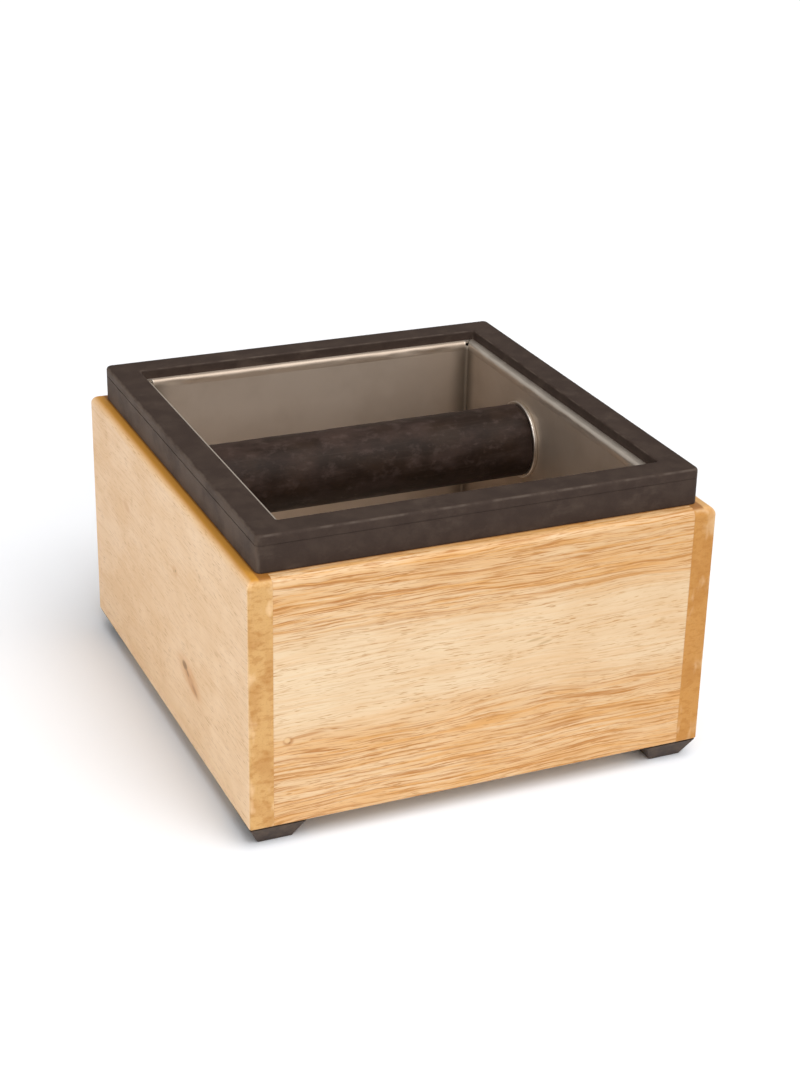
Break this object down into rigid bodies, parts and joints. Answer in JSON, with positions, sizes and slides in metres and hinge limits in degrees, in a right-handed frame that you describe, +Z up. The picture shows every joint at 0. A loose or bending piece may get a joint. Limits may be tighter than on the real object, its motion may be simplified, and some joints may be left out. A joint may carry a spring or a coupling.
{
  "type": "espresso knock box",
  "caption": "Square wooden espresso knock box with a lift-out steel pan, a rubber rim and a rubber-covered knock bar across it.",
  "frame": {"origin": "on the floor under the middle of the box", "axes": "+X to the right seen from the front, +Y to the back, +Z up"},
  "size_m": [0.18, 0.19, 0.118],
  "materials": {
    "rubberwood": "satin lacquer",
    "plywood": "sanded",
    "beech": "plain",
    "wire_nail_steel": "bright drawn",
    "foot_rubber": "matt",
    "foam_tape": "matt foam",
    "pan_steel": "fine brushed",
    "rim_rubber": "matt moulded",
    "bar_steel": "turned",
    "sleeve_rubber": "ground",
    "disc_steel": "polished",
    "fastener_steel": "plain"
  },
  "bodies": {
    "box": {"left_board": "rubberwood", "right_board": "rubberwood", "front_board": "rubberwood", "back_board": "rubberwood", "bottom_panel": "plywood", "joint_dowels": "beech", "panel_brads": "wire_nail_steel", "foot_front_left": "foot_rubber", "foot_front_right": "foot_rubber", "foot_back_left": "foot_rubber", "foot_back_right": "foot_rubber", "foot_adhesive_pads": "foam_tape"},
    "pan_insert": {"pan": "pan_steel", "rubber_rim": "rim_rubber", "bar_core": "bar_steel", "bar_sleeve": "sleeve_rubber", "bar_disc_left": "disc_steel", "bar_disc_right": "disc_steel", "bar_lock_washers": "fastener_steel", "bar_screws": "fastener_steel"}
  },
  "joints": [
    {"name": "pan_lift", "type": "slide", "parent": "box", "child": "pan_insert", "axis": [0, 0, 1], "range_m": [0, 0.12]}
  ]
}
